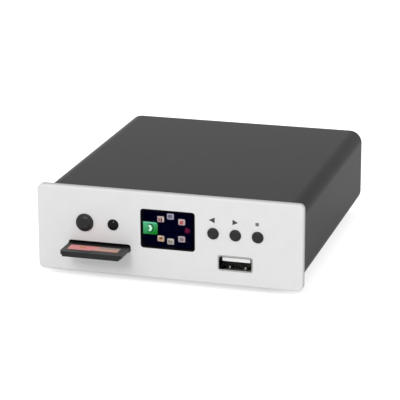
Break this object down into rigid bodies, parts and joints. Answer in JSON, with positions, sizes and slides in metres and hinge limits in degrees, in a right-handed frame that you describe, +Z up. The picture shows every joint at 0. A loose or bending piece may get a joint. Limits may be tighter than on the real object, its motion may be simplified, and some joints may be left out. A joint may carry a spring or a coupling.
{
  "type": "network music player",
  "caption": "Compact box-shaped music player with a metal front plate, a small colour display, push buttons, a memory-card slot, a data socket and rear sound sockets.",
  "frame": {"origin": "on the floor under the middle of the whole outline, the card and rear sockets included", "axes": "+Z up, the front plate faces -Y, +X to the right seen from the front"},
  "size_m": [0.103, 0.13, 0.036],
  "materials": {
    "anodised_aluminium": "silver, fine satin",
    "cover_paint": "dark grey, fine textured paint",
    "tray_paint": "black, satin paint",
    "rubber": "matt",
    "zinc_steel": "zinc plated",
    "brass": "plain",
    "circuit_board": "green solder mask",
    "window_clear": "clear, polished",
    "display_glass": "dark, lit pictograms",
    "white_plastic": "moulded",
    "flat_cable": "amber film",
    "black_gloss": "polished",
    "button_plastic": "dark grey, satin",
    "black_plastic": "moulded",
    "socket_metal": "nickel plated",
    "contact_gold": "gold flashed",
    "rca_plating": "bright nickel",
    "white_gloss": "moulded",
    "red_gloss": "moulded",
    "orange_gloss": "moulded",
    "card_plastic": "dark moulded",
    "card_label_paper": "printed, plain colours",
    "can_aluminium": "sleeved can"
  },
  "bodies": {
    "chassis": {"front_plate": "anodised_aluminium", "cover": "cover_paint", "base_tray": "tray_paint", "front_sheet": "tray_paint", "rear_panel": "tray_paint", "button_switches": "black_plastic", "foot_front_left": "rubber", "foot_front_right": "rubber", "foot_rear_left": "rubber", "foot_rear_right": "rubber", "foot_screws": "zinc_steel", "front_plate_screws": "zinc_steel", "board_standoffs": "brass", "board_screws": "zinc_steel", "main_board": "circuit_board", "front_board": "circuit_board", "board_link": "black_plastic", "display_window": "window_clear", "display_panel": "display_glass", "display_backlight": "white_plastic", "display_frame": "black_plastic", "display_ribbon": "flat_cable", "remote_lens": "black_gloss", "remote_receiver": "black_plastic", "card_socket_base": "black_plastic", "card_socket_cover": "socket_metal", "card_socket_contacts": "contact_gold", "usb_shell": "socket_metal", "usb_tongue": "white_plastic", "usb_contacts": "contact_gold", "ethernet_shield": "socket_metal", "ethernet_insert": "black_plastic", "ethernet_contacts": "contact_gold", "supply_socket": "black_plastic", "supply_pin": "socket_metal", "processor": "black_plastic", "converter": "black_plastic", "capacitors": "can_aluminium", "left_output_shell": "rca_plating", "left_output_housing": "white_gloss", "left_output_contact": "contact_gold", "right_output_shell": "rca_plating", "right_output_housing": "red_gloss", "right_output_contact": "contact_gold", "digital_output_shell": "rca_plating", "digital_output_housing": "orange_gloss", "digital_output_contact": "contact_gold"},
    "power_press_body": {"power_button": "button_plastic", "power_plunger": "black_plastic"},
    "back_press_body": {"back_button": "button_plastic", "back_plunger": "black_plastic"},
    "play_press_body": {"play_button": "button_plastic", "play_plunger": "black_plastic"},
    "stop_press_body": {"stop_button": "button_plastic", "stop_plunger": "black_plastic"},
    "card_body": {"memory_card": "card_plastic", "memory_card_label": "card_label_paper", "memory_card_contacts": "contact_gold"},
    "card_lock_body": {"memory_card_lock": "white_plastic"}
  },
  "joints": [
    {"name": "power_button_press", "type": "slide", "parent": "chassis", "child": "power_press_body", "axis": [0, 1, 0], "range_m": [0, 0.0005], "stiffness_N_per_m": 1000, "springref_m": -0.0003},
    {"name": "back_button_press", "type": "slide", "parent": "chassis", "child": "back_press_body", "axis": [0, 1, 0], "range_m": [0, 0.0003], "stiffness_N_per_m": 1000, "springref_m": -0.0003},
    {"name": "play_button_press", "type": "slide", "parent": "chassis", "child": "play_press_body", "axis": [0, 1, 0], "range_m": [0, 0.0003], "stiffness_N_per_m": 1000, "springref_m": -0.0003},
    {"name": "stop_button_press", "type": "slide", "parent": "chassis", "child": "stop_press_body", "axis": [0, 1, 0], "range_m": [0, 0.0003], "stiffness_N_per_m": 1000, "springref_m": -0.0003},
    {"name": "card_slide", "type": "slide", "parent": "chassis", "child": "card_body", "axis": [0, -1, 0], "range_m": [0, 0.024]},
    {"name": "card_lock_slide", "type": "slide", "parent": "card_body", "child": "card_lock_body", "axis": [0, -1, 0], "range_m": [0, 0.0018]}
  ]
}
